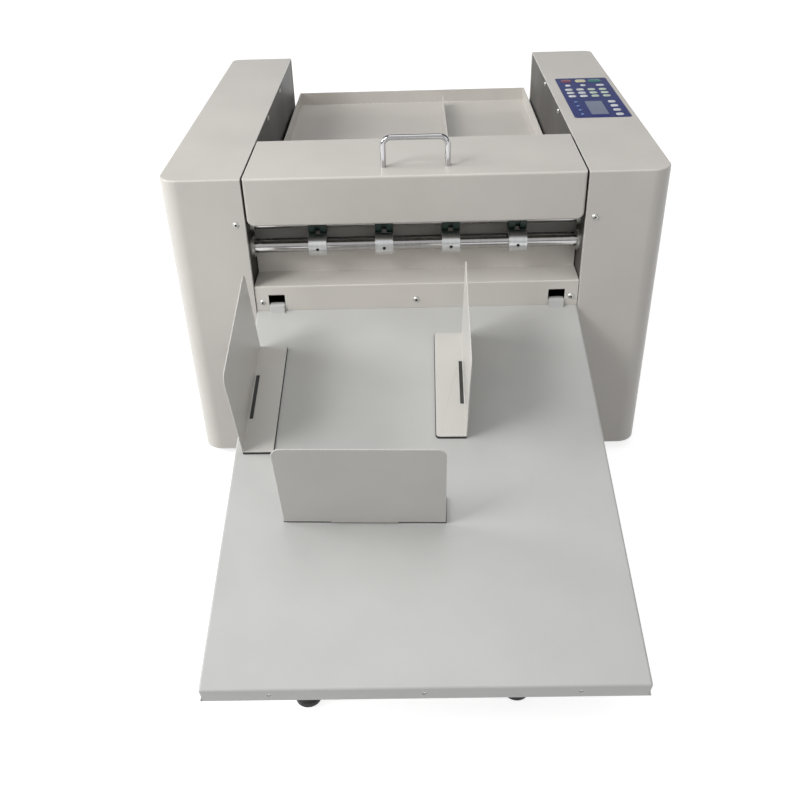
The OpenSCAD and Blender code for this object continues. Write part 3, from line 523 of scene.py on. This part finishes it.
# Bend and cut radius of each folded sheet; the cover is rounded along its front only
COVER_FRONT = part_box("cover")[0].y + 10 * MM
BENDS = {
    "left_housing": (2.2 * MM, 0.3 * MM),
    "right_housing": (2.2 * MM, 0.3 * MM),
    "cover": (3.0 * MM, 0.3 * MM, COVER_FRONT),
    "front_panel": (1.8 * MM, 0.3 * MM),
    "delivery_tray": (2.6 * MM, 0.3 * MM),
    "left_tray_guide": (0.5 * MM, 0.5 * MM),
    "right_tray_guide": (0.5 * MM, 0.5 * MM),
    "end_stop": (0.5 * MM, 0.5 * MM),
}
for sheet_name, radii in BENDS.items():
    soften(sheet_name, *radii)


# ---------------------------------------------------------------- screws with painted shade in their sockets
# A screw's head is as wide as this across its axis; what lies this near its axis is the socket
HEAD_WIDTH = 7.6 * MM
SOCKET_REACH = 1.4 * MM


def mesh_islands(mesh):
    """Loose parts of a mesh as lists of corners."""
    unseen = set(mesh.verts)
    islands = []
    while unseen:
        waiting = [unseen.pop()]
        found = []
        while waiting:
            vert = waiting.pop()
            found.append(vert)
            for edge in vert.link_edges:
                other = edge.other_vert(vert)
                if other in unseen:
                    unseen.discard(other)
                    waiting.append(other)
        islands.append(found)
    return islands


def corners(points):
    """Lowest and highest corner of some positions."""
    return (Vector([min(p[i] for p in points) for i in range(3)]),
            Vector([max(p[i] for p in points) for i in range(3)]))


def paint_socket_shade():
    """Stand-in for the panel screws, with painted shade: black steel in their hexagon sockets."""
    mesh = welded_mesh("panel_screws")
    for island in mesh_islands(mesh):
        low, high = corners([vert.co for vert in island])
        along = max(range(3), key=lambda axis: abs(high[axis] - low[axis] - HEAD_WIDTH))
        middle = (low + high) / 2
        for face in {face for vert in island for face in vert.link_faces}:
            off = face.calc_center_median() - middle
            off[along] = 0.0
            # Faces near the axis, in the socket, take black steel as painted shade
            face.material_index = 1 if off.length < SOCKET_REACH else 0
    piece = object_from(mesh, "panel_screws_socket_shade", MATERIALS["zinc_steel"], MATERIALS["black_steel"])
    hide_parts("panel_screws")
    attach(piece, "machine")


paint_socket_shade()


# ---------------------------------------------------------------- keypad
KEY_COLOURS = {
    "red": (0.22, 0.055, 0.09),
    "cream": (0.62, 0.60, 0.40),
    "green": (0.03, 0.19, 0.16),
    "pale_green": (0.50, 0.58, 0.48),
    "white": (0.62, 0.64, 0.66),
}


def key_boxes():
    """Box of each loose part of the keypad_keys node."""
    mesh = welded_mesh("keypad_keys")
    boxes = [corners([vert.co for vert in island]) for island in mesh_islands(mesh)]
    mesh.free()
    return boxes


DOME_RINGS = 7
DOME_STEPS = 40
# Powers of the rounded-square outline and of the dome's flat-topped profile
OUTLINE_POWER = 0.6
PROFILE_POWER = 4


def domed_key(name, low, high, material):
    """Embossed key: a dome with a rounded-square outline that fills a box."""
    middle = (low + high) / 2
    half = (high - low) / 2
    mesh = bmesh.new()
    loops = []
    for ring in range(DOME_RINGS + 1):
        across = 1.0 - ring / (DOME_RINGS + 1)
        height = low.z + (high.z - low.z) * math.sqrt(max(0.0, 1.0 - across ** PROFILE_POWER))
        loop = []
        for step in range(DOME_STEPS):
            angle = 2 * math.pi * step / DOME_STEPS
            c, s = math.cos(angle), math.sin(angle)
            x = math.copysign(abs(c) ** OUTLINE_POWER, c) * half.x * across
            y = math.copysign(abs(s) ** OUTLINE_POWER, s) * half.y * across
            loop.append(mesh.verts.new((middle.x + x, middle.y + y, height)))
        loops.append(loop)
    for outer, inner in zip(loops, loops[1:]):
        for step in range(DOME_STEPS):
            after = (step + 1) % DOME_STEPS
            mesh.faces.new((outer[step], outer[after], inner[after], inner[step]))
    mesh.faces.new(loops[-1])
    mesh.faces.new(list(reversed(loops[0])))
    for face in mesh.faces:
        face.smooth = True
    return object_from(mesh, name, material)


WIDE_KEYS = ("red", "cream", "green")
# The block of pale green and white keys, counted from the back row's left end
BLOCK_START = 6
BLOCK_END = 18
BLOCK_COLUMNS = 4
GREEN_COLUMNS = 2


def key_colour(index):
    """Colour name of a key: three wide keys at the back, then pale green or white ones."""
    if index < len(WIDE_KEYS):
        return WIDE_KEYS[index]
    if BLOCK_START <= index < BLOCK_END and index % BLOCK_COLUMNS < GREEN_COLUMNS:
        return "pale_green"
    return "white"


def make_keys():
    """Coloured domes in place of the plain keys."""
    printed = {}
    for name, colour in KEY_COLOURS.items():
        printed[name] = polymer(
            "key_" + name, colour, 0.28, 0.4, grain=1600.0, depth=0.00001, dust=0.05, coat=0.25)
    boxes = key_boxes()
    boxes.sort(key=lambda pair: (-round((pair[0].y + pair[1].y) / 2, 3), pair[0].x))
    for index, (low, high) in enumerate(boxes):
        piece = domed_key(f"key_{index + 1:02d}", low, high, printed[key_colour(index)])
        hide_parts("keypad_keys")
        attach(piece, "machine")


make_keys()

# ---------------------------------------------------------------- floor, backdrop and light
FLOOR_SIZE = 40.0
FLOOR_TONE = 0.5
FLOOR_LIFT = 0.80
# Brightness of the surround, and of what metal mirrors: the dim rooms behind and before, and a window
SURROUND = 0.40
ROOM_BEHIND = 0.06
ROOM_BEFORE = 0.07
WINDOW = 0.70
AIM = Vector((0.0, -0.1, 0.25))


def grey(value):
    """Neutral colour of one value."""
    return (value, value, value, 1.0)


def sees_backdrop(tree, rays):
    """Mask of the rays that see the white backdrop: from the camera, off metal and through glass."""
    mirrored = math_node(tree, "MAXIMUM", rays.outputs["Is Camera Ray"], rays.outputs["Is Glossy Ray"])
    return math_node(tree, "MAXIMUM", mirrored, rays.outputs["Is Transmission Ray"])


def make_floor():
    """Grey floor that looks white, also in metal, and keeps a faint shadow of the object."""
    bpy.ops.mesh.primitive_plane_add(size=FLOOR_SIZE, location=(0.0, 0.0, 0.0))
    floor = bpy.context.object
    floor.name = "floor"
    material, tree, shader = new_material("studio_floor")
    rays = add(tree, "ShaderNodeLightPath")
    lift = blend_colours(tree, sees_backdrop(tree, rays), grey(0.0), grey(FLOOR_LIFT))
    wire(tree, (lift, shader.inputs["Emission Color"]))
    shader.inputs["Base Color"].default_value = grey(FLOOR_TONE)
    shader.inputs["Roughness"].default_value = 0.9
    shader.inputs["Emission Strength"].default_value = 1.0
    floor.data.materials.append(material)


def make_world():
    """Even surround that looks white; metal mirrors a white backdrop, dim rooms and a window."""
    world = bpy.data.worlds.new("surround")
    bpy.context.scene.world = world
    world.use_nodes = True
    tree = world.node_tree
    surround = tree.nodes["Background"]
    direction = add(tree, "ShaderNodeSeparateXYZ")
    wire(tree, (add(tree, "ShaderNodeTexCoord").outputs["Generated"], direction.inputs[0]))
    near_side = remap(tree, direction.outputs["Y"], -0.10, -0.35)
    window = remap(tree, direction.outputs["Z"], 0.12, 0.22)
    before = blend_colours(tree, window, grey(ROOM_BEFORE), grey(WINDOW))
    backdrop_top = remap(tree, direction.outputs["Z"], 0.14, 0.26)
    behind = blend_colours(tree, backdrop_top, grey(1.0), grey(ROOM_BEHIND))
    mirrored = blend_colours(tree, near_side, behind, before)
    rays = add(tree, "ShaderNodeLightPath")
    seen = blend_colours(tree, rays.outputs["Is Glossy Ray"], grey(1.0), mirrored)
    shown = blend_colours(tree, sees_backdrop(tree, rays), grey(SURROUND), seen)
    wire(tree, (shown, surround.inputs["Color"]))
    surround.inputs["Strength"].default_value = 1.0


def area_light(name, place, size, power):
    """Soft box at a place, turned to the machine."""
    data = bpy.data.lights.new(name, "AREA")
    data.shape = "SQUARE"
    data.size = size
    data.energy = power
    light = bpy.data.objects.new(name, data)
    bpy.context.scene.collection.objects.link(light)
    light.location = place
    light.rotation_mode = "QUATERNION"
    light.rotation_quaternion = (AIM - Vector(place)).to_track_quat("-Z", "Y")


make_floor()
make_world()
area_light("key", (-1.7, -1.3, 2.0), size=0.9, power=33.0)
area_light("left", (-2.3, -0.2, 1.4), size=1.0, power=31.5)
area_light("overhead", (0.0, 0.0, 2.6), size=1.5, power=10.5)
area_light("front_right", (1.8, -1.8, 1.4), size=1.2, power=4.2)
bpy.context.scene.view_settings.view_transform = "Standard"
